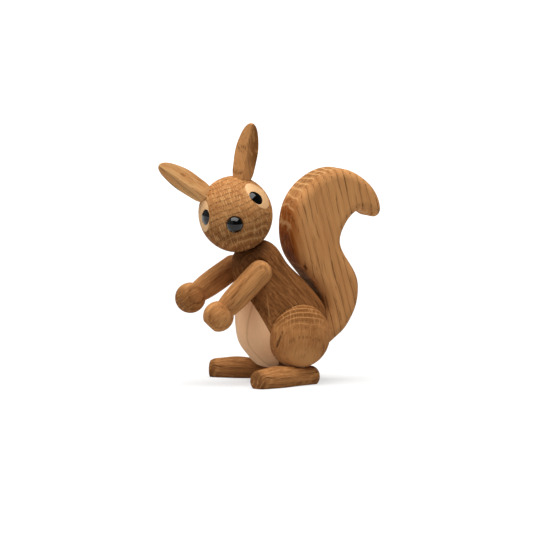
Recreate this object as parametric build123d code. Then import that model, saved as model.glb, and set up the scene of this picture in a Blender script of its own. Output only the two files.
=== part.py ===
from build123d import *
import os
from math import cos, radians, sin, sqrt

# Wooden squirrel that stands on two flat feet. X is its left side, Y its back and Z is up.
# The origin lies on the table, under the middle of the whole figure. Lengths are in millimetres
# and angles in degrees.

# Where the figure's own middle plane and upright line lie from the origin
stand_side = -2.9
stand_back = 6.44

# Fits
glue_gap = 0.05
running_gap = 0.06
ring_gap = 0.01
rest_gap = 0.25
overrun = 30.0
block_size = 120.0

# Body: one turned pear, leaning forward, with its lower tip over the table
body_height = 54.1
body_radius = 18.85
body_lean = 23.7
body_tip_back = 19.0
body_tip_height = 7.75
body_outline_shares = [
    (0.0, 0.0),
    (0.408, 0.021),
    (0.632, 0.06),
    (0.843, 0.12),
    (0.93, 0.2),
    (1.0, 0.3),
    (0.927, 0.45),
    (0.77, 0.6),
    (0.604, 0.75),
    (0.531, 0.88),
    (0.396, 0.955),
    (0.0, 1.0),
]

# Belly: the front slice of the same turned pear, in pale wood
belly_thickness = 7.4

# Head: a ball, slightly longer along the neck, that rests in a cup in the body's top and is turned
# to the figure's left
head_radius = 15.05
head_half_height = 15.7
head_cup_depth = 2.4
head_forward = 0.35
head_turn = 64.5

# Neck
neck_dowel_radius = 2.5
neck_depth_in_body = 12.0
neck_depth_in_head = 11.0
neck_ring_thickness = 1.0
neck_ring_height_in_head = 5.0

# Nose: a ball on a peg
nose_radius = 3.5
nose_rise = -0.8
nose_sideways = -1.9
nose_peg_radius = 1.2
nose_peg_length = 6.5

# Eyes: a pale round plug across each side of the head, with a black eye let into it off centre
eye_drill_forward = 17.2
eye_drill_down = 16.5
eye_plug_radius = 5.11
eye_plug_up_share = 0.558
eye_plug_front_share = 0.1353
eye_plug_length = 7.0
eye_radius = 2.6
eye_up_share = 0.551
eye_front_share = 0.3195
eye_length = 4.5
eye_dome_radius = 6.0
eye_proud = 0.3

# Ears: leaf shapes with a ridge in front, on round stems
ear_length = 23.4
ear_radius = 4.85
ear_flare_share = 0.55
ear_stem_radius = 2.2
ear_stem_length = 4.5
ear_ridge_half_angle = 52.0
ear_facet_slope = 5.0
ear_facet_depth = 2.9
left_ear_tilt = 31.5
left_ear_forward = -1.5
right_ear_tilt = 33.1
right_ear_forward = 8.0
ear_outline_shares = [
    (0.73, 0.0),
    (0.93, 0.22),
    (1.0, 0.47),
    (0.89, 0.67),
    (0.76, 0.78),
    (0.53, 0.905),
    (0.0, 1.0),
]

# Arms: one turned piece each, with a shoulder dome, a taper and a ball hand with a flat end
shoulder_side = 13.4
shoulder_forward = 5.2
shoulder_below_top = 9.72
arm_toe_in = 13.0
left_arm_drop = 45.7
right_arm_drop = 27.5
arm_reach = 24.5
arm_shoulder_radius = 5.05
arm_middle_radius = 5.1
arm_middle_share = 0.45
arm_wrist_radius = 4.3
hand_radius = 6.25
hand_flat_distance = 5.4
arm_flat_distance = 4.4
shoulder_seat_gap = 0.7
shoulder_pin_radius = 2.0
shoulder_pin_in_arm = 6.5
shoulder_pin_in_body = 5.0
shoulder_ring_thickness = 0.8
shoulder_ring_place = 2.0

# Thighs: domed discs let into the sides of the body
thigh_radius = 13.0
thigh_back = 13.55
thigh_height = 20.0
thigh_inner_side = 11.5
thigh_wall = 3.9
thigh_dome = 7.0
thigh_flat_height = 7.4
thigh_dome_shares = [
    (1.0, 0.0),
    (0.951, 0.309),
    (0.809, 0.588),
    (0.588, 0.809),
    (0.309, 0.951),
    (0.0, 1.0),
]
hip_dowel_radius = 3.0
hip_dowel_in_body = 7.0
hip_dowel_in_thigh = 6.0

# Feet: turned spindles, planed flat below and cut square at the toe, that swivel on dowels
foot_length = 33.8
foot_bulge_radius = 5.4
foot_axis_height = 3.1
foot_ankle_from_toe = 25.2
left_foot_splay = 20.0
right_foot_splay = 37.0
ankle_side = 15.0
ankle_back = 13.9
ankle_pad_radius = 5.2
ankle_dowel_radius = 1.8
ankle_dowel_in_thigh = 6.0
ankle_dowel_in_foot = 4.6
foot_outline_shares = [
    (0.64, 0.0),
    (0.87, 0.12),
    (1.0, 0.33),
    (0.91, 0.52),
    (0.83, 0.7),
    (0.81, 0.86),
    (0.7, 0.96),
    (0.0, 1.0),
]

# Tail: a thick curled board, upright behind the back. Its outline is given in shares of how far
# it reaches back from its foremost edge, and of its height above the table.
tail_front = 13.5
tail_reach = 40.2
tail_rise = 86.7
tail_thickness = 18.0
tail_edge_radius = 4.0
tail_tip_radius = 2.7
tail_tip_height = 69.3
tail_tip_turn = 118.0
tail_root_back = 16.0
tail_seat_back = 30.0
tail_dowel_radius = 2.5
tail_dowel_in_body = 8.0
tail_dowel_in_tail = 7.0
tail_dowel_heights = [21.5, 29.5]
tail_outer_shares = [
    (0.34, 0.25),
    (0.375, 0.3),
    (0.39, 0.348),
    (0.355, 0.404),
    (0.283, 0.4577),
    (0.145, 0.5365),
    (0.06, 0.5933),
    (0.0, 0.7219),
    (0.055, 0.8505),
    (0.2675, 0.9606),
    (0.5825, 1.0),
    (0.7725, 0.964),
    (0.925, 0.8992),
]
tail_inner_shares = [
    (0.77, 0.8015),
    (0.678, 0.779),
    (0.596, 0.728),
    (0.55, 0.6559),
    (0.603, 0.5933),
    (0.682, 0.5377),
    (0.741, 0.4786),
    (0.752, 0.4206),
    (0.719, 0.3418),
    (0.652, 0.2804),
    (0.5525, 0.2248),
]
tail_foot_shares = (0.4175, 0.175)


def along(start, direction, distance):
    return Vector(start) + Vector(direction) * distance


def rod(start, direction, radius, length):
    """A round rod from a start point along a direction."""
    plane = Plane(origin=start, z_dir=direction)
    return plane * Cylinder(radius, length, align=(Align.CENTER, Align.CENTER, Align.MIN))


def smooth(points, start_way, end_way):
    """A curve through the points that leaves and arrives in the given directions."""
    ways = [Vector(start_way).normalized(), Vector(end_way).normalized()]
    return Spline(*points, tangents=ways, tangent_scalars=[1, 1])


def turned(points, start_way, end_way):
    """A solid turned about its own Z axis from (radius, height) points."""
    corners = [Vector(radius, 0, height) for radius, height in points]
    axis_low = Vector(0, 0, corners[0].Z)
    axis_high = Vector(0, 0, corners[-1].Z)
    edges = [smooth(corners, start_way, end_way), Line(axis_high, axis_low)]
    for corner, axis_point in ((corners[0], axis_low), (corners[-1], axis_high)):
        if corner.X > 0:
            edges.append(Line(axis_point, corner))
    return revolve(make_face(edges), axis=Axis.Z)


def spheroid(radius, half_height):
    arc = EllipticalCenterArc((0, 0), radius, half_height, start_angle=-90, arc_size=180)
    face = make_face([arc, Line(arc @ 1, arc @ 0)])
    return revolve(Plane.XZ * face, axis=Axis.Z)


# Frames of the body and of the head
lean = radians(body_lean)
body_frame = Plane(
    origin=(0, body_tip_back, body_tip_height),
    x_dir=(1, 0, 0),
    z_dir=(0, -sin(lean), cos(lean)),
)
head_foot_height = body_height - head_cup_depth
head_centre = body_frame.from_local_coords(
    Vector(0, -head_forward, head_foot_height + head_half_height)
)
neck_up = body_frame.z_dir
turn = radians(head_turn)
head_left = body_frame.x_dir * cos(turn) + body_frame.y_dir * sin(turn)
head_frame = Plane(origin=head_centre, x_dir=head_left, z_dir=neck_up)


def turned_body(grow=0.0):
    size = 1 + grow / body_radius
    points = [
        (share_r * body_radius * size, share_h * body_height + (share_h + share_h - 1) * grow)
        for share_r, share_h in body_outline_shares
    ]
    return body_frame * turned(points, (1, 0, 0), (-1, 0, 0))


def head_ball(grow=0.0):
    return head_frame * spheroid(head_radius + grow, head_half_height + grow)


def head_point(local):
    return head_frame.from_local_coords(Vector(local))


def head_way(local):
    """A direction given in the head's own frame, as seen by the whole figure."""
    return head_point(local) - head_centre


def belly_side():
    """The block in front of the plane between the two woods."""
    block = Box(block_size, block_size, block_size, align=(Align.CENTER, Align.MAX, Align.CENTER))
    return body_frame * Pos(0, belly_thickness - body_radius, 0) * block


def friction_ring(start, direction, shaft_radius, thickness):
    """A rubber ring that sits in a shaft's groove and rubs in the bore around it."""
    middle = shaft_radius + running_gap - ring_gap - thickness / 2
    return Plane(origin=start, z_dir=direction) * Torus(middle, thickness / 2)


def ring_groove(start, direction, shaft_radius, thickness):
    floor = shaft_radius + running_gap - ring_gap - thickness - glue_gap
    width = thickness + glue_gap + glue_gap
    outer = Cylinder(shaft_radius + overrun, width)
    return Plane(origin=start, z_dir=direction) * (outer - Cylinder(floor, width))


# Neck dowel: glued in the body, and the head turns on it
neck_start = body_frame.from_local_coords(
    Vector(0, -head_forward, head_foot_height - neck_depth_in_body)
)
neck_length = neck_depth_in_body + neck_depth_in_head
neck_ring_centre = along(head_centre, neck_up, neck_ring_height_in_head - head_half_height)


def make_neck_dowel():
    dowel = rod(neck_start, neck_up, neck_dowel_radius, neck_length)
    return dowel - ring_groove(neck_ring_centre, neck_up, neck_dowel_radius, neck_ring_thickness)


def make_neck_friction_ring():
    return friction_ring(neck_ring_centre, neck_up, neck_dowel_radius, neck_ring_thickness)


# Shoulders
def shoulder_point(side):
    local = Vector(side * shoulder_side, -shoulder_forward, body_height - shoulder_below_top)
    return body_frame.from_local_coords(local)


def shoulder_out(side):
    angle = radians(arm_toe_in)
    return Vector(side * cos(angle), -sin(angle), 0)


def shoulder_flat(side):
    """The middle of the arm's flat, on the pin's axis."""
    return along(shoulder_point(side), shoulder_out(side), -arm_flat_distance)


def arm_direction(side):
    drop = radians(left_arm_drop if side > 0 else right_arm_drop)
    angle = radians(arm_toe_in)
    return Vector(-side * sin(angle) * cos(drop), -cos(angle) * cos(drop), -sin(drop))


def shoulder_pin_start(side):
    return along(shoulder_flat(side), shoulder_out(side), -shoulder_pin_in_body)


def shoulder_ring_centre(side):
    return along(shoulder_flat(side), shoulder_out(side), shoulder_ring_place)


def make_arm(side):
    taper_end = arm_reach - sqrt(hand_radius**2 - arm_wrist_radius**2)
    low = (Align.CENTER, Align.CENTER, Align.MIN)
    points = [
        (arm_shoulder_radius, 0.0),
        (arm_middle_radius, arm_middle_share * taper_end),
        (arm_wrist_radius, taper_end),
    ]
    narrowing = arm_middle_radius - arm_wrist_radius
    sleeve = turned(points, (0, 0, 1), (-narrowing, 0, arm_wrist_radius))
    dome = Sphere(arm_shoulder_radius)
    beyond = Box(block_size, block_size, block_size, align=low)
    hand = Sphere(hand_radius) - Pos(0, 0, hand_flat_distance) * beyond
    frame = Plane(origin=shoulder_point(side), x_dir=shoulder_out(side), z_dir=arm_direction(side))
    arm = frame * (dome + sleeve + Pos(0, 0, arm_reach) * hand)
    inside = Box(
        block_size,
        block_size,
        arm_shoulder_radius + taper_end,
        align=(Align.MAX, Align.CENTER, Align.MIN),
    )
    arm -= frame * Pos(-arm_flat_distance, 0, -arm_shoulder_radius) * inside
    bore_start = along(shoulder_flat(side), shoulder_out(side), -overrun)
    bore_length = overrun + shoulder_pin_in_arm + rest_gap
    return arm - rod(bore_start, shoulder_out(side), shoulder_pin_radius + running_gap, bore_length)


def make_shoulder_pin(side):
    way = shoulder_out(side)
    length = shoulder_pin_in_body + shoulder_pin_in_arm
    pin = rod(shoulder_pin_start(side), way, shoulder_pin_radius, length)
    centre = shoulder_ring_centre(side)
    return pin - ring_groove(centre, way, shoulder_pin_radius, shoulder_ring_thickness)


def make_shoulder_friction_ring(side):
    centre = shoulder_ring_centre(side)
    return friction_ring(centre, shoulder_out(side), shoulder_pin_radius, shoulder_ring_thickness)


def shoulder_seat(side):
    """What is cut from the body under a shoulder: a flat for the arm and a hole for its pin."""
    flat_point = along(shoulder_flat(side), shoulder_out(side), -rest_gap)
    flat = rod(flat_point, shoulder_out(side), arm_shoulder_radius + shoulder_seat_gap, overrun)
    return flat + rod(shoulder_pin_start(side), shoulder_out(side), shoulder_pin_radius, overrun)


# Thighs
def thigh_frame(side):
    centre = Vector(side * thigh_inner_side, thigh_back, thigh_height)
    return Plane(origin=centre, x_dir=(0, 1, 0), z_dir=(side, 0, 0))


def hip_dowel(side):
    frame = thigh_frame(side)
    start = along(frame.origin, frame.z_dir, -hip_dowel_in_body)
    return rod(start, frame.z_dir, hip_dowel_radius, hip_dowel_in_body + hip_dowel_in_thigh)


def ankle_point(side, height=0.0):
    return Vector(side * ankle_side, ankle_back, height)


def ankle_dowel(side, grow=0.0):
    start = ankle_point(side, thigh_flat_height - rest_gap - ankle_dowel_in_foot - grow)
    length = grow + ankle_dowel_in_foot + rest_gap + ankle_dowel_in_thigh
    return rod(start, (0, 0, 1), ankle_dowel_radius + grow, length)


def ground_block():
    return Box(block_size, block_size, block_size, align=(Align.CENTER, Align.CENTER, Align.MAX))


def make_thigh(side):
    low = (Align.CENTER, Align.CENTER, Align.MIN)
    points = [
        (share_r * thigh_radius, thigh_wall + share_h * thigh_dome)
        for share_r, share_h in thigh_dome_shares
    ]
    blank = Cylinder(thigh_radius, thigh_wall, align=low) + turned(points, (0, 0, 1), (-1, 0, 0))
    thigh = thigh_frame(side) * blank
    thigh -= Pos(0, 0, thigh_flat_height) * ground_block()
    return thigh - hip_dowel(side) - ankle_dowel(side)


def thigh_pocket(side):
    low = (Align.CENTER, Align.CENTER, Align.MIN)
    return thigh_frame(side) * Cylinder(thigh_radius + glue_gap, overrun, align=low)


# Feet
def make_foot(side):
    splay = radians(left_foot_splay if side > 0 else right_foot_splay)
    toe_way = Vector(side * sin(splay), -cos(splay), 0)
    toe = along(ankle_point(side, foot_axis_height), toe_way, foot_ankle_from_toe)
    points = [
        (share_r * foot_bulge_radius, share_h * foot_length) for share_r, share_h in foot_outline_shares
    ]
    frame = Plane(origin=toe, x_dir=(0, 0, 1), z_dir=toe_way * -1)
    foot = frame * turned(points, (1, 0, 1), (-1, 0, 0))
    foot -= ground_block()
    pad = ankle_point(side, thigh_flat_height - rest_gap)
    foot -= rod(pad, (0, 0, 1), ankle_pad_radius, overrun)
    return foot - ankle_dowel(side, running_gap)


# Tail
def tail_point(shares):
    back_share, rise_share = shares
    return Vector(tail_front + back_share * tail_reach, rise_share * tail_rise)


def make_tail():
    tip_back = tail_front + tail_reach - tail_tip_radius
    tip = CenterArc((tip_back, tail_tip_height), tail_tip_radius, 0, -tail_tip_turn)
    start, second = tail_point(tail_outer_shares[0]), tail_point(tail_outer_shares[1])
    outer_points = [tail_point(shares) for shares in tail_outer_shares] + [tip @ 0]
    outer = smooth(outer_points, second - start, tip % 0)
    foot = tail_point(tail_foot_shares)
    last = tail_point(tail_inner_shares[-1])
    inner_points = [tip @ 1] + [tail_point(shares) for shares in tail_inner_shares]
    inner = smooth(inner_points, tip % 1, foot - last)
    root = Polyline(last, foot, (tail_root_back, foot.Y), (tail_root_back, start.Y), start)
    face = make_face([outer, tip, inner, root])
    tail = extrude(Plane.YZ * face, tail_thickness / 2, both=True)
    rims = tail.faces().filter_by(Axis.X).edges().filter_by(GeomType.LINE, reverse=True)
    tail = fillet(rims, tail_edge_radius)
    tail -= turned_body(glue_gap)
    return tail - [tail_dowel(height) for height in tail_dowel_heights]


def tail_dowel(height):
    start = Vector(0, tail_seat_back - tail_dowel_in_body, height)
    return rod(start, (0, 1, 0), tail_dowel_radius, tail_dowel_in_body + tail_dowel_in_tail)


# Body and belly
def make_body_blank():
    blank = turned_body() - head_ball(rest_gap)
    blank -= rod(neck_start, neck_up, neck_dowel_radius, neck_length)
    for side in (1, -1):
        blank -= shoulder_seat(side)
        blank -= thigh_pocket(side)
        blank -= hip_dowel(side)
    return blank - [tail_dowel(height) for height in tail_dowel_heights]


# Eyes
def eye_axis(side):
    """The drilling's direction, in the head's own frame."""
    forward = radians(eye_drill_forward)
    down = radians(eye_drill_down)
    return Vector(side * cos(forward) * cos(down), -sin(forward), -sin(down)).normalized()


def drilling_start(up_share, front_share):
    """Where a drilling's axis crosses the head's middle plane, in the head's own frame."""
    return Vector(0, -front_share * head_radius, up_share * head_half_height)


def drilling_exit(side, up_share, front_share):
    """Where a drilling's axis meets the head's round surface, in the head's own frame."""
    way = eye_axis(side)
    start_share = Vector(0, -front_share, up_share)
    way_share = Vector(way.X / head_radius, way.Y / head_radius, way.Z / head_half_height)
    square = way_share.dot(way_share)
    middle = start_share.dot(way_share) / square
    reach = sqrt(middle**2 - (start_share.dot(start_share) - 1) / square) - middle
    return along(drilling_start(up_share, front_share), way, reach)


def drilling(side, up_share, front_share, radius, depth):
    """A rod along a drilling, from a depth under the head's surface to well outside it."""
    start = along(drilling_exit(side, up_share, front_share), eye_axis(side), -depth)
    return rod(head_point(start), head_way(eye_axis(side)), radius, overrun)


def eye_socket(side):
    shares = (eye_plug_up_share, eye_plug_front_share)
    return drilling(side, *shares, eye_plug_radius, eye_plug_length)


def eye_hole(side, grow=0.0):
    return drilling(side, eye_up_share, eye_front_share, eye_radius + grow, eye_length)


def make_eye_surround(side):
    return (eye_socket(side) & head_ball()) - eye_hole(side) - ear_hole(side)


def make_eye(side):
    surface = drilling_exit(side, eye_up_share, eye_front_share)
    centre = along(surface, surface.normalized(), eye_proud - eye_dome_radius)
    return eye_hole(side, -glue_gap) & Pos(*head_point(centre)) * Sphere(eye_dome_radius)


# Nose
def nose_way():
    rise = radians(nose_rise)
    aside = radians(nose_sideways)
    return head_way((sin(aside) * cos(rise), -cos(aside) * cos(rise), sin(rise)))


def make_nose(grow=0.0):
    centre = along(head_centre, nose_way(), head_radius)
    ball = Pos(*centre) * Sphere(nose_radius + grow)
    return ball + rod(centre, nose_way() * -1, nose_peg_radius + grow, nose_peg_length + grow)


# Ears
def ear_way(side):
    tilt = radians(left_ear_tilt if side > 0 else right_ear_tilt)
    ahead = radians(left_ear_forward if side > 0 else right_ear_forward)
    return head_way((side * sin(tilt) * cos(ahead), -sin(ahead), cos(tilt) * cos(ahead)))


def ear_frame(side):
    """Z runs out along the ear from the head's centre, and X faces forward."""
    way = ear_way(side)
    face = head_frame.y_dir * -1
    return Plane(origin=head_centre, x_dir=face - way * face.dot(way), z_dir=way)


def make_ear(side):
    low = (Align.CENTER, Align.CENTER, Align.MIN)
    points = [
        (share_r * ear_radius, head_radius + share_h * ear_length)
        for share_r, share_h in ear_outline_shares
    ]
    leaf = turned(points, (ear_flare_share, 0, 1), (-1, 0, 0))
    under = head_radius - ear_stem_length
    leaf += Pos(0, 0, under) * Cylinder(points[0][0], ear_stem_length, align=low)
    facet = Box(block_size, block_size, block_size, align=(Align.MIN, Align.CENTER, Align.CENTER))
    for turn_way in (1, -1):
        cutter = Pos(0, 0, head_radius) * Rot(0, 0, turn_way * (90 - ear_ridge_half_angle))
        leaf -= cutter * Pos(ear_facet_depth, 0, 0) * Rot(0, -ear_facet_slope, 0) * facet
    stem = Pos(0, 0, under) * Cylinder(ear_stem_radius, ear_stem_length * 2, align=low)
    return (ear_frame(side) * leaf - head_ball(glue_gap)) + ear_frame(side) * stem


def ear_hole(side):
    start = along(head_centre, ear_way(side), head_radius - ear_stem_length)
    return rod(start, ear_way(side), ear_stem_radius, overrun)


def make_head():
    head = head_ball()
    for side in (1, -1):
        head -= eye_socket(side)
        head -= eye_hole(side)
        head -= ear_hole(side)
    head -= make_nose(glue_gap)
    bore_start = along(head_centre, neck_up, -head_half_height - overrun)
    bore_length = overrun + neck_depth_in_head + rest_gap
    return head - rod(bore_start, neck_up, neck_dowel_radius + running_gap, bore_length)


body_blank = make_body_blank()
sides = {"left": 1, "right": -1}
parts = {
    "body": body_blank - belly_side(),
    "belly": body_blank & belly_side(),
    "head": make_head(),
    "nose": make_nose(),
    "neck_dowel": make_neck_dowel(),
    "neck_friction_ring": make_neck_friction_ring(),
    "tail": make_tail(),
    "tail_dowels": Compound([tail_dowel(height) for height in tail_dowel_heights]),
}
for name, side in sides.items():
    parts[name + "_eye_surround"] = make_eye_surround(side)
    parts[name + "_eye"] = make_eye(side)
    parts[name + "_ear"] = make_ear(side)
    parts[name + "_arm"] = make_arm(side)
    parts[name + "_shoulder_pin"] = make_shoulder_pin(side)
    parts[name + "_shoulder_friction_ring"] = make_shoulder_friction_ring(side)
    parts[name + "_thigh"] = make_thigh(side)
    parts[name + "_hip_dowel"] = hip_dowel(side)
    parts[name + "_foot"] = make_foot(side)
    parts[name + "_ankle_dowel"] = ankle_dowel(side)

os.makedirs("parts", exist_ok=True)
for name, shape in parts.items():
    export_step(Pos(-stand_side, -stand_back, 0) * shape, "parts/" + name + ".step")
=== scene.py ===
import math
from dataclasses import dataclass

import bpy
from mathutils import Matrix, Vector


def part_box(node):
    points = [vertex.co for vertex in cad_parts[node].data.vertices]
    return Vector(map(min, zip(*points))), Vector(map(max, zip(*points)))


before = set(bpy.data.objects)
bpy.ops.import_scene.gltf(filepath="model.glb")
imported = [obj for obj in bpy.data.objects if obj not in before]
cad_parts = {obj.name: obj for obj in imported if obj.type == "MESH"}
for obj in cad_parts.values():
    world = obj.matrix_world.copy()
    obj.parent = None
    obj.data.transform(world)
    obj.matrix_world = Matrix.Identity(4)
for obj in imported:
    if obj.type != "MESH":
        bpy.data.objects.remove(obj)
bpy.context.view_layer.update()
MM = 0.001
SIDES = (("left", 1), ("right", -1))

# Camera: where it looks, the side and height it looks from, and how far away it stands.
AIM = Vector((0.0242, 1.8133, 45.5606)) * MM
CAMERA_SIDE = math.radians(65.855)
CAMERA_HEIGHT = math.radians(5.265)
CAMERA_DISTANCE = 4.0
CAMERA_REACH = 100.0
SENSOR_WIDTH = 36.0
VIEW_WIDTH = 0.22037

# Light: a wide soft box above, a low card at the front left and a weak sky.
SKY_STRENGTH = 0.07
KEY_SIZE = (1.6, 1.2)
KEY_POWER = 28.0
KEY_TURN = math.radians(-16.0)
KEY_RISE = math.radians(83.0)
CARD_SIZE = (2.4, 1.6)
CARD_POWER = 3.4
CARD_TURN = math.radians(-75.0)
CARD_RISE = math.radians(16.0)
LAMP_DISTANCE = 1.1

# Floor: its grey where it lights the figure and where it is seen, and its glow near the figure.
FLOOR_SIZE = 60.0
FLOOR_GAP = 0.02 * MM
FLOOR_BOUNCE = 0.50
FLOOR_PALE = 0.42
FLOOR_GLOW = 0.53
GLOW_STARTS = 0.15
GLOW_FULL = 1.2

# Colours of the oiled oak, from the palest to the pores, and of the other materials; the pores' colour
# also paints the shade under the head.
STRAW = (0.76, 0.45, 0.19)
HONEY = (0.64, 0.31, 0.112)
TAN = (0.52, 0.229, 0.078)
BROWN = (0.37, 0.147, 0.045)
UMBER = (0.235, 0.09, 0.024)
AMBER = (0.30, 0.072, 0.004)
DEEP = (0.14, 0.05, 0.013)
PORE_AND_SHADE = (0.07, 0.025, 0.007)
MAPLE_PALE = (0.86, 0.545, 0.285)
MAPLE_DARK = (0.70, 0.40, 0.185)
# The belly's colours are the maple painted paler, painted light standing in for light bounced up from the
# floor.
BELLY_PALE_LIT = (0.97, 0.60, 0.33)
BELLY_DARK_LIT = (0.88, 0.50, 0.27)
BEECH_PALE = (0.68, 0.47, 0.28)
BEECH_DARK = (0.55, 0.34, 0.18)
BLACK = (0.0004, 0.0004, 0.0004)
SOFT_BLACK = (0.0012, 0.0012, 0.0012)
RUBBER = (0.03, 0.03, 0.03)
RUBBER_DUST = (0.05, 0.05, 0.05)

# Shine: how strongly wood mirrors, the lacquer's index, and the least and most roughness.
WOOD_SHINE = 0.05
LACQUER_INDEX = 1.42
OAK_ROUGHNESS = (0.62, 0.78)
MAPLE_ROUGHNESS = (0.45, 0.6)
LACQUER_ROUGHNESS = (0.03, 0.07)
RUBBER_ROUGHNESS = (0.7, 0.9)

# Depth of the surface's unevenness, in mm, and how much of the oak's is its fibre.
OAK_BUMP = 0.14
FINE_BUMP = 0.03
FIBRE_BUMP_SHARE = 0.5

# Noise: how often it repeats per mm across the rings, round them and along the grain, then its
# detail and its roughness.
OAK_DRIFT = ((0.09, 0.09, 0.03), 2.0, 0.5)
OAK_PATCHES = ((0.12, 0.12, 0.035), 3.0, 0.5)
OAK_COARSE = ((1.0, 1.0, 0.06), 2.0, 0.6)
OAK_FINE = ((2.4, 2.4, 0.15), 3.0, 0.65)
OAK_BREAKS = ((0.5, 0.5, 0.03), 1.0, 0.5)
MAPLE_DRIFT = ((0.05, 0.05, 0.02), 2.0, 0.5)
MAPLE_PATCHES = ((0.07, 0.07, 0.02), 2.0, 0.5)
MAPLE_FINE = ((2.0, 2.0, 0.3), 3.0, 0.6)
LACQUER_FILM = ((0.35, 0.35, 0.35), 2.0, 0.5)
RUBBER_SPECKS = ((1.5, 1.5, 1.5), 3.0, 0.5)

# Rays: how often they repeat per mm across the rings and along the grain, and how they end.
RAY_ACROSS = 0.20
RAY_ALONG = 0.26
RAY_DETAIL = 1.5
RAY_ROUGHNESS = 0.6
RAY_FADE = 2.0

# Pores and flecks: how many there are per mm, and how long and dark the sparse pores are.
CLOSE_PORES = 1.7
SPARSE_PORES = 0.9
SPARSE_LENGTH_SHARE = 0.7
SPARSE_STRENGTH = 0.7
MAPLE_FLECKS = (1.6, 1.6, 0.5)
FLECK_STRENGTH = 0.25

# How the tone is shared out, how far maple's grain sways in mm, and the late wood's least strength.
COARSE_SHARE, FINE_SHARE = 0.6, 0.4
MAPLE_PATCH_SHARE, MAPLE_FINE_SHARE = 0.55, 0.45
MAPLE_SWAY = 6.0
LATE_LEAST = 0.2

# Where in a noise or a cell a feature begins and where it is full.
SPREAD = (0.3, 0.7)
PATCH_SPREAD = (0.32, 0.68)
WIDE_SPREAD = (0.2, 0.8)
RAY_EDGE = (0.53, 0.64)
BREAK_EDGE = (0.42, 0.56)
VESSEL_EDGE = (0.42, 0.24)
PORE_EDGE = (0.20, 0.10)
FLECK_EDGE = (0.16, 0.08)
MARK_EDGE = (1.0, 0.45)

# Bands of a growth ring, as shares of its width: start, full, fading and end.
EARLY_BAND = (0.0, 0.10, 0.18, 0.42)
LATE_BAND = (0.5, 0.60, 0.70, 0.82)
LINE_BAND = (0.0, 0.07, 0.10, 0.20)
MAPLE_BAND = (0.0, 0.05, 0.05, 0.14)

# Marks on the wood, and patches of painted shade: middle, way along, length and width, in mm in the
# shared frame.
# Painted shade: the chin and the underside of the head, darkened where the light from above does not
# reach.
SHADE_UNDER_CHIN = ((9.0, -19.5, 58.0), (0.4, 0.9, 0.0), 24.0, 14.0)
# Painted shade: the lower back of the head's near side, darkened as the side turned from the light.
CHEEK_SHADE = ((18.0, -8.0, 65.0), (0, 0, 1), 13.0, 10.0)
MOUTH = ((11.6, -23.4, 60.5), (0.4, 0.9, 0.0), 7.0, 2.6)
JAW_RINGS = ((14.0, -13.0, 61.5), (0.4, 0.9, 0.4), 16.0, 7.0)
EAR_SHADE = ((11.5, -8.5, 94.0), (0, 0, 1), 22.0, 5.0)
EAR_KNOT = ((1.2, -37.4, 85.9), (0, -0.8, 0.5), 1.8, 0.7)
# Painted shade: the top of the body under the head, darkened as the head's shadow.
SHADE_UNDER_HEAD = ((8.0, -12.0, 57.0), (0, -0.4, 0.9), 9.0, 12.0)
# Painted shade: the body's back near the tail, darkened where the tail and thigh keep the light off.
FLANK_SHADE = ((17.0, 13.0, 34.0), (0, 0.6, -0.7), 20.0, 7.0)
FLANK_STREAK = ((16.4, -6.3, 32.0), (0.19, 0.05, -0.98), 8.0, 0.5)
# The tail's front edge: partly its darker end grain, partly painted shade and warm bounce from the head
# it faces.
TAIL_FRONT_GRAIN_AND_SHADE = ((2.9, 3.0, 59.0), (0, -0.05, 1), 33.0, 14.5)
TAIL_TOP = ((2.9, 12.0, 88.0), (0, 1, 0.15), 30.0, 14.0)
TAIL_KNOT = ((9.9, 13.2, 47.0), (0, -0.3, 1), 2.2, 0.9)
THIGH_CRACK = ((21.6, -4.0, 18.0), (-0.25, -0.25, -0.93), 8.0, 0.7)

# Marks on both thighs: their middles, counted sideways from the squirrel's own middle, which lies
# MIDDLE_SIDE from the frame's, and their lengths and widths.
MIDDLE_SIDE = 2.9
THIGH_TOP = (16.0, 6.0, 32.0)
THIGH_TOP_SIZE = (19.0, 12.0)
THIGH_RINGS_SIZE = (17.0, 13.0)
# Painted light: the low mark makes each thigh's lower side paler in place of light bounced up from the
# floor.
THIGH_LOW_BOUNCE_LIGHT = (18.0, 5.0, 10.0)
THIGH_LOW_BOUNCE_LIGHT_SIZE = (12.0, 9.0)

# Marks on the hands and the toes, with the way that each arm and foot points.
HANDS = {"left": ((12.0, -33.0, 26.0), (-0.16, -0.68, -0.72), 8.0, 11.0),
         "right": ((-4.6, -35.7, 32.8), (0.2, -0.86, -0.46), 8.0, 11.0)}
HAND_SHADES = {"left": 0.1, "right": 0.75}
TOES = {"left": ((26.4, -16.2, 3.7), (0.342, -0.94, 0), 2.5, 9.0),
        "right": ((-24.5, -13.6, 3.7), (-0.6, -0.8, 0), 2.5, 9.0)}


@dataclass
class Oak:
    """One piece of oak: how it is cut from the tree, and how strongly each feature shows.

    The grain runs along, and out is the way across the rings, away from the tree's middle, which
    lies pith mm from the piece's. A ring's width, the wave of the grain, a pore's length, a ray's
    width and how far round the tree the rays reach are in mm. The other numbers are strengths.
    A mark is its strength, its colour and its place.
    """

    along: tuple
    out: tuple
    light: tuple = TAN
    dark: tuple = BROWN
    ring: float = 2.4
    pith: float = 70.0
    wave: float = 3.0
    patch: float = 0.5
    fibre: float = 0.8
    pores: float = 0.55
    pore_length: float = 11.0
    ring_dark: float = 0.15
    ring_line: float = 0.0
    ring_pale: float = 0.0
    ring_area: tuple = ()
    rays: float = 0.4
    ray_light: tuple = HONEY
    ray_width: float = 0.6
    ray_reach: float = 40.0
    marks: tuple = ()


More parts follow.
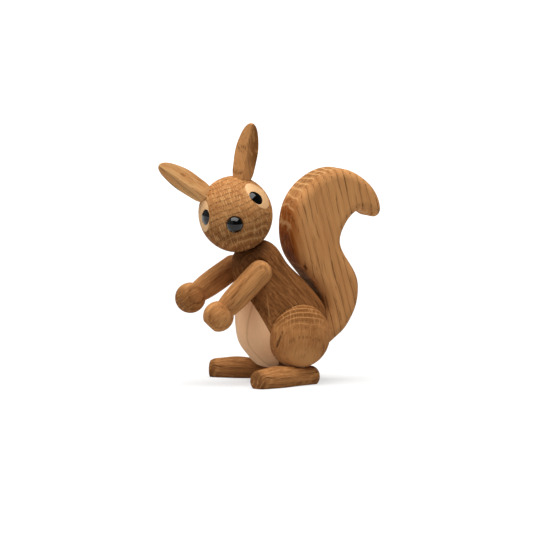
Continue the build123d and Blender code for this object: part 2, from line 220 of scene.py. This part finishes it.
class Graph:
    """Builds the nodes of one material."""

    def __init__(self, name):
        self.material = bpy.data.materials.new(name)
        self.material.use_nodes = True
        self.nodes = self.material.node_tree.nodes
        self.links = self.material.node_tree.links
        self.shader = self.nodes["Principled BSDF"]

    def feed(self, socket, value):
        if isinstance(value, bpy.types.NodeSocket):
            self.links.new(value, socket)
        elif socket.type == "RGBA":
            socket.default_value = (*value, 1.0)
        else:
            socket.default_value = value

    def place(self):
        """The spot on the piece, in metres, in the piece's own frame."""
        return self.nodes.new("ShaderNodeTexCoord").outputs["Object"]

    def place_mm(self):
        return self.vector("MULTIPLY", self.place(), (1 / MM, 1 / MM, 1 / MM))

    def math(self, operation, *values):
        node = self.nodes.new("ShaderNodeMath")
        node.operation = operation
        for socket, value in zip(node.inputs, values):
            self.feed(socket, value)
        return node.outputs["Value"]

    def plus(self, first, second):
        return self.math("ADD", first, second)

    def minus(self, first, second):
        return self.math("SUBTRACT", first, second)

    def times(self, first, second):
        return self.math("MULTIPLY", first, second)

    def vector(self, operation, *values):
        node = self.nodes.new("ShaderNodeVectorMath")
        node.operation = operation
        for socket, value in zip(node.inputs, values):
            self.feed(socket, value)
        scalar = operation in ("DOT_PRODUCT", "LENGTH")
        return node.outputs["Value" if scalar else "Vector"]

    def join(self, x, y, z):
        node = self.nodes.new("ShaderNodeCombineXYZ")
        for socket, value in zip(node.inputs, (x, y, z)):
            self.feed(socket, value)
        return node.outputs["Vector"]

    def split(self, value):
        node = self.nodes.new("ShaderNodeSeparateXYZ")
        self.feed(node.inputs["Vector"], value)
        return node.outputs["X"], node.outputs["Y"], node.outputs["Z"]

    def noise(self, spot, stretch, detail, roughness):
        node = self.nodes.new("ShaderNodeTexNoise")
        self.feed(node.inputs["Vector"], self.vector("MULTIPLY", spot, stretch))
        node.inputs["Scale"].default_value = 1.0
        node.inputs["Detail"].default_value = detail
        node.inputs["Roughness"].default_value = roughness
        return node.outputs["Fac"]

    def cells(self, spot, stretch):
        node = self.nodes.new("ShaderNodeTexVoronoi")
        self.feed(node.inputs["Vector"], self.vector("MULTIPLY", spot, stretch))
        node.inputs["Scale"].default_value = 1.0
        return node.outputs["Distance"]

    def ramp(self, value, start, end, low=0.0, high=1.0):
        """Turns start to end into low to high, smoothly."""
        node = self.nodes.new("ShaderNodeMapRange")
        node.interpolation_type = "SMOOTHSTEP"
        for name, given in zip(("Value", "From Min", "From Max", "To Min", "To Max"),
                               (value, start, end, low, high)):
            self.feed(node.inputs[name], given)
        return node.outputs["Result"]

    def band(self, value, start, full, fading, end):
        """1 from full to fading, and 0 before start and past end."""
        return self.times(self.ramp(value, start, full), self.ramp(value, end, fading))

    def mix(self, share, first, second):
        """Two colours mixed; the sockets are told apart by number, because their names repeat."""
        node = self.nodes.new("ShaderNodeMix")
        node.data_type = "RGBA"
        self.feed(node.inputs[0], share)
        self.feed(node.inputs[6], first)
        self.feed(node.inputs[7], second)
        return node.outputs[2]

    def bump(self, height, depth):
        node = self.nodes.new("ShaderNodeBump")
        node.inputs["Distance"].default_value = depth * MM
        self.feed(node.inputs["Height"], height)
        self.links.new(node.outputs["Normal"], self.shader.inputs["Normal"])

    def surface(self, colour, roughness):
        self.feed(self.shader.inputs["Base Color"], colour)
        self.feed(self.shader.inputs["Roughness"], roughness)


def grain_spot(g, middle, along, out):
    """The spot in mm: out across the growth rings, round them, and along the grain."""
    along = Vector(along).normalized()
    out = Vector(out)
    out = (out - along * out.dot(along)).normalized()
    round_way = along.cross(out)
    place = g.vector("SUBTRACT", g.place(), Vector(middle) * MM)
    return g.join(*(g.vector("DOT_PRODUCT", place, way / MM) for way in (out, round_way, along)))


def swayed(g, spot, pattern, sway):
    """The spot moved a little across the grain, so that the rings and fibres wander."""
    drift = g.times(g.minus(g.noise(spot, *pattern), 0.5), sway)
    return g.vector("ADD", spot, g.join(drift, drift, 0.0))


def ring_place(g, spot, ring, pith):
    """Where the spot lies in its growth ring: 0 at the inner side and 1 at the outer side."""
    across, round_way, _ = g.split(spot)
    radius = g.vector("LENGTH", g.join(g.plus(across, pith), round_way, 0.0))
    return g.math("FRACT", g.math("DIVIDE", radius, ring))


def mark(g, centre, along, length, width):
    """How far the spot lies inside a long mark on the piece: 1 in its middle, 0 outside."""
    along = Vector(along).normalized()
    offset = g.vector("SUBTRACT", g.place_mm(), Vector(centre))
    lengthwise = g.vector("DOT_PRODUCT", offset, along)
    on_axis = g.vector("MULTIPLY", g.join(lengthwise, lengthwise, lengthwise), along)
    beside = g.vector("LENGTH", g.vector("SUBTRACT", offset, on_axis))
    far = g.join(g.math("DIVIDE", lengthwise, length), g.math("DIVIDE", beside, width), 0.0)
    return g.ramp(g.vector("LENGTH", far), *MARK_EDGE)


def oak_base(g, spot, grain, wood):
    """The base colour: broad patches, fibre and the piece's marks, among them painted shade and painted
    light.
    """
    broad = g.noise(spot, *OAK_PATCHES)
    tone = g.plus(g.times(g.ramp(broad, *PATCH_SPREAD), wood.patch),
                  g.times(g.minus(grain, SPREAD[0]), wood.fibre))
    colour = g.mix(g.math("MINIMUM", g.math("MAXIMUM", tone, 0.0), 1.0), wood.dark, wood.light)
    for strength, tint, area in wood.marks:
        colour = g.mix(g.times(mark(g, *area), strength), colour, tint)
    return colour


def oak_rays(g, spot, wood, reach):
    """Pale rays that cross the rings, where the wood is cut across them."""
    stretch = (RAY_ACROSS, 1 / wood.ray_width, RAY_ALONG)
    streaks = g.noise(spot, stretch, RAY_DETAIL, RAY_ROUGHNESS)
    return g.times(g.times(g.ramp(streaks, *RAY_EDGE), wood.rays), reach)


def pale_rings(g, year, wood, reach):
    """The pale late wood of each ring, strongest where the rays show."""
    late = g.times(g.band(year, *LATE_BAND), g.ramp(reach, 0.0, 1.0, LATE_LEAST, 1.0))
    if wood.ring_area:
        late = g.times(late, mark(g, *wood.ring_area))
    return g.times(late, wood.ring_pale)


def dark_lines(g, spot, year, wood, reach):
    """Thin broken lines where each ring begins, half as strong where the rays show."""
    broken = g.ramp(g.noise(spot, *OAK_BREAKS), *BREAK_EDGE)
    line = g.times(g.band(year, *LINE_BAND), broken)
    return g.times(line, g.minus(wood.ring_line, g.times(reach, wood.ring_line / 2)))


def open_pores(g, spot, early, wood):
    """Short dark vessels, close in the early wood and sparse elsewhere."""
    close = (CLOSE_PORES, CLOSE_PORES, 1 / wood.pore_length)
    apart = (SPARSE_PORES, SPARSE_PORES, SPARSE_LENGTH_SHARE / wood.pore_length)
    vessel = g.ramp(g.cells(spot, close), *VESSEL_EDGE)
    sparse = g.ramp(g.cells(spot, apart), *PORE_EDGE)
    return g.math("MAXIMUM", g.times(vessel, early), g.times(sparse, SPARSE_STRENGTH))


def oak(name, middle, wood):
    """Oiled oak: rings of open pores, fine fibre, and pale rays that cross the grain."""
    g = Graph(name)
    spot = swayed(g, grain_spot(g, middle, wood.along, wood.out), OAK_DRIFT, wood.wave)
    year = ring_place(g, spot, wood.ring, wood.pith)
    early = g.band(year, *EARLY_BAND)
    round_way = g.split(spot)[1]
    reach = g.ramp(g.math("ABSOLUTE", round_way), wood.ray_reach, wood.ray_reach - RAY_FADE)
    fine = g.noise(spot, *OAK_FINE)
    coarse = g.noise(spot, *OAK_COARSE)
    grain = g.plus(g.times(g.ramp(coarse, *SPREAD), COARSE_SHARE),
                   g.times(g.ramp(fine, *SPREAD), FINE_SHARE))
    pores = open_pores(g, spot, early, wood)

    colour = oak_base(g, spot, grain, wood)
    colour = g.mix(pale_rings(g, year, wood, reach), colour, wood.ray_light)
    colour = g.mix(oak_rays(g, spot, wood, reach), colour, wood.ray_light)
    colour = g.mix(g.times(early, wood.ring_dark), colour, PORE_AND_SHADE)
    colour = g.mix(dark_lines(g, spot, year, wood, reach), colour, PORE_AND_SHADE)
    colour = g.mix(g.times(pores, wood.pores), colour, PORE_AND_SHADE)

    g.surface(colour, g.ramp(fine, *WIDE_SPREAD, *OAK_ROUGHNESS))
    g.shader.inputs["Specular IOR Level"].default_value = WOOD_SHINE
    g.bump(g.minus(g.times(grain, FIBRE_BUMP_SHARE), pores), OAK_BUMP)
    return g.material


def maple(name, middle, along, out, light=MAPLE_PALE, dark=MAPLE_DARK, ring=9.0, pith=20.0, line=0.5):
    """Pale maple: close, even wood with soft growth lines and tiny flecks."""
    g = Graph(name)
    spot = swayed(g, grain_spot(g, middle, along, out), MAPLE_DRIFT, MAPLE_SWAY)
    growth = g.band(ring_place(g, spot, ring, pith), *MAPLE_BAND)
    broad = g.noise(spot, *MAPLE_PATCHES)
    fine = g.noise(spot, *MAPLE_FINE)
    fleck = g.ramp(g.cells(spot, MAPLE_FLECKS), *FLECK_EDGE)
    tone = g.plus(g.times(g.ramp(broad, *SPREAD), MAPLE_PATCH_SHARE),
                  g.times(g.ramp(fine, *SPREAD), MAPLE_FINE_SHARE))
    spots = g.math("MAXIMUM", g.times(growth, line), g.times(fleck, FLECK_STRENGTH))
    colour = g.mix(spots, g.mix(tone, dark, light), BROWN)
    g.surface(colour, g.ramp(fine, *WIDE_SPREAD, *MAPLE_ROUGHNESS))
    g.shader.inputs["Specular IOR Level"].default_value = WOOD_SHINE
    g.bump(fine, FINE_BUMP)
    return g.material


def gloss(name):
    """Black lacquer with a faint unevenness."""
    g = Graph(name)
    film = g.noise(g.place_mm(), *LACQUER_FILM)
    g.surface(g.mix(film, BLACK, SOFT_BLACK), g.ramp(film, *SPREAD, *LACQUER_ROUGHNESS))
    g.shader.inputs["IOR"].default_value = LACQUER_INDEX
    return g.material


def rubber(name):
    """Matt black rubber."""
    g = Graph(name)
    dust = g.noise(g.place_mm(), *RUBBER_SPECKS)
    g.surface(g.mix(dust, RUBBER, RUBBER_DUST), g.ramp(dust, *WIDE_SPREAD, *RUBBER_ROUGHNESS))
    g.bump(dust, FINE_BUMP)
    return g.material


def middle_of(node):
    low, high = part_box(node)
    return (low + high) / 2 / MM


def paint(node, material):
    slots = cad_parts[node].data.materials
    slots.clear()
    slots.append(material)


def paint_oak(node, wood):
    paint(node, oak(f"{node}_oak", middle_of(node), wood))


def paint_head():
    # The chin and cheek marks are painted shade on the head's lower side.
    paint_oak("head", Oak(
        along=(0.85, -0.4, 0.35), out=(0.14, 0.32, -0.94), light=HONEY, dark=BROWN, ring=2.3,
        pith=45.0, pores=0.6, ring_dark=0.2, ring_pale=0.32, ring_area=JAW_RINGS, rays=0.45,
        ray_light=STRAW, ray_width=0.4,
        marks=((0.75, UMBER, SHADE_UNDER_CHIN), (0.5, UMBER, CHEEK_SHADE), (0.5, DEEP, MOUTH))))
    paint("nose", gloss("nose_gloss"))
    for side, _ in SIDES:
        surround = f"{side}_eye_surround"
        paint(surround, maple(f"{side}_surround_maple", middle_of(surround), (0, -0.2, 1), (1, 0, 0)))
        paint(f"{side}_eye", gloss(f"{side}_eye_gloss"))


def paint_ears():
    paint_oak("left_ear", Oak(
        along=(0.1, -0.2, 1), out=(0.6, -0.8, 0), light=HONEY, dark=TAN, ring=3.0, pith=14.0,
        marks=((0.95, UMBER, EAR_SHADE),)))
    paint_oak("right_ear", Oak(
        along=(-0.1, -0.8, 0.55), out=(0.9, 0, 0.3), light=STRAW, dark=TAN, ring=3.2, pith=16.0,
        marks=((0.7, UMBER, EAR_KNOT),)))


def paint_body():
    # The mark under the head and the faint one on the flank by the tail are painted shade.
    paint_oak("body", Oak(
        along=(0.274, 0.611, -0.743), out=(0.304, 0.678, 0.67), light=BROWN, dark=DEEP, ring=1.5,
        fibre=0.9, pores=0.4, ring_dark=0.1, rays=0.2, ray_light=TAN,
        marks=((0.7, PORE_AND_SHADE, SHADE_UNDER_HEAD), (0.2, DEEP, FLANK_SHADE), (0.4, HONEY, FLANK_STREAK))))
    # The belly's paler colours are painted light from the floor.
    paint("belly", maple("belly_maple", middle_of("belly"), (0, -0.4, 0.9), (1, -0.4, 0),
                         light=BELLY_PALE_LIT, dark=BELLY_DARK_LIT, line=0.3))


def paint_tail():
    # The front mark is partly the darker end grain, partly painted shade and warm bounce from the head.
    paint_oak("tail", Oak(
        along=(0, -0.26, 0.97), out=(0, 1, 0), light=HONEY, dark=TAN, ring=2.9, wave=5.0,
        pores=0.5, pore_length=25.0, ring_dark=0.05, ring_line=0.5, ring_pale=0.5, rays=0.55,
        ray_light=STRAW, ray_width=0.36, ray_reach=7.5,
        marks=((1.0, AMBER, TAIL_FRONT_GRAIN_AND_SHADE), (0.85, PORE_AND_SHADE, TAIL_KNOT), (0.75, UMBER, TAIL_TOP))))


def paint_arms():
    for side, _ in SIDES:
        way = HANDS[side][1]
        paint_oak(f"{side}_arm", Oak(
            along=way, out=(1, 0, 0.4), light=HONEY, dark=BROWN,
            marks=((HAND_SHADES[side], UMBER, HANDS[side]),)))


def paint_thighs():
    ahead = (0, 1, 0)
    for side, sign in SIDES:
        top, low = ((MIDDLE_SIDE + x * sign, y, z) for x, y, z in (THIGH_TOP, THIGH_LOW_BOUNCE_LIGHT))
        # The low mark is painted light from the floor; the top mark is the darker end grain.
        marks = ((0.95, UMBER, (top, ahead, *THIGH_TOP_SIZE)),
                 (0.9, HONEY, (low, ahead, *THIGH_LOW_BOUNCE_LIGHT_SIZE)))
        crack = ((0.75, PORE_AND_SHADE, THIGH_CRACK),) if side == "left" else ()
        paint_oak(f"{side}_thigh", Oak(
            along=(0.36 * sign, 0.1, 0.93), out=(0.93 * sign, 0, -0.36), light=TAN, dark=BROWN,
            ring=1.7, wave=2.0, fibre=0.9, pores=0.4, ring_dark=0.05, ring_pale=0.55,
            ring_area=(top, ahead, *THIGH_RINGS_SIZE), marks=marks + crack))


def paint_feet():
    for side, _ in SIDES:
        way = TOES[side][1]
        paint_oak(f"{side}_foot", Oak(
            along=way, out=(0.5, 0, 1), light=TAN, dark=UMBER, marks=((0.45, DEEP, TOES[side]),)))


def paint_pins():
    pegs = maple("dowel_beech", (0, 0, 0), (0, 0, 1), (1, 0, 0), BEECH_PALE, BEECH_DARK)
    rings = rubber("ring_rubber")
    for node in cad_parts:
        if "dowel" in node or node.endswith("shoulder_pin"):
            paint(node, pegs)
        elif node.endswith("friction_ring"):
            paint(node, rings)


def add_floor():
    half = FLOOR_SIZE / 2
    mesh = bpy.data.meshes.new("floor")
    mesh.from_pydata([(-half, -half, 0), (half, -half, 0), (half, half, 0), (-half, half, 0)],
                     [], [(0, 1, 2, 3)])
    floor = bpy.data.objects.new("floor", mesh)
    bpy.context.scene.collection.objects.link(floor)
    mesh.materials.append(floor_material())
    floor.location.z = -FLOOR_GAP


def floor_material():
    """Pale paper: seen or mirrored it is white with the shadow on it, and it throws little light back."""
    g = Graph("floor_paper")
    path = g.nodes.new("ShaderNodeLightPath")
    seen = g.math("MAXIMUM", path.outputs["Is Camera Ray"],
                  g.math("MAXIMUM", path.outputs["Is Glossy Ray"], path.outputs["Is Transmission Ray"]))
    g.feed(g.shader.inputs["Base Color"], g.mix(seen, (FLOOR_BOUNCE,) * 3, (FLOOR_PALE,) * 3))
    g.shader.inputs["Roughness"].default_value = 1.0
    g.shader.inputs["Specular IOR Level"].default_value = 0.0
    glow = g.nodes.new("ShaderNodeEmission")
    g.feed(glow.inputs["Color"], (1.0, 1.0, 1.0))
    away = g.vector("LENGTH", g.place())
    strength = g.ramp(away, GLOW_STARTS, GLOW_FULL, FLOOR_GLOW, 1.0)
    g.feed(glow.inputs["Strength"], g.times(seen, strength))
    both = g.nodes.new("ShaderNodeAddShader")
    g.links.new(g.shader.outputs[0], both.inputs[0])
    g.links.new(glow.outputs[0], both.inputs[1])
    g.links.new(both.outputs[0], g.nodes["Material Output"].inputs["Surface"])
    return g.material


def add_sky():
    world = bpy.data.worlds.new("sky")
    bpy.context.scene.world = world
    world.use_nodes = True
    background = world.node_tree.nodes["Background"]
    background.inputs["Color"].default_value = (1.0, 1.0, 1.0, 1.0)
    background.inputs["Strength"].default_value = SKY_STRENGTH


def toward(turn, rise):
    """A way out from the figure, by its turn from the camera's side and its height."""
    side = CAMERA_SIDE + turn
    return Vector((math.sin(side) * math.cos(rise), -math.cos(side) * math.cos(rise), math.sin(rise)))


def add_softbox(name, turn, rise, size, power):
    lamp = bpy.data.lights.new(name, "AREA")
    lamp.shape = "RECTANGLE"
    lamp.size, lamp.size_y = size
    lamp.energy = power
    box = bpy.data.objects.new(name, lamp)
    bpy.context.scene.collection.objects.link(box)
    way = toward(turn, rise)
    box.location = AIM + way * LAMP_DISTANCE
    box.rotation_euler = way.to_track_quat("Z", "Y").to_euler()


def add_camera():
    lens = bpy.data.cameras.new("camera")
    lens.sensor_width = SENSOR_WIDTH
    lens.lens = SENSOR_WIDTH * CAMERA_DISTANCE / VIEW_WIDTH
    lens.clip_end = CAMERA_REACH
    camera = bpy.data.objects.new("camera", lens)
    bpy.context.scene.collection.objects.link(camera)
    back = toward(0.0, CAMERA_HEIGHT)
    camera.location = AIM + back * CAMERA_DISTANCE
    camera.rotation_euler = back.to_track_quat("Z", "Y").to_euler()
    bpy.context.scene.camera = camera


add_camera()
add_floor()
add_sky()
add_softbox("key", KEY_TURN, KEY_RISE, KEY_SIZE, KEY_POWER)
add_softbox("card", CARD_TURN, CARD_RISE, CARD_SIZE, CARD_POWER)
paint_head()
paint_ears()
paint_body()
paint_tail()
paint_arms()
paint_thighs()
paint_feet()
paint_pins()
bpy.context.scene.view_settings.view_transform = "Standard"
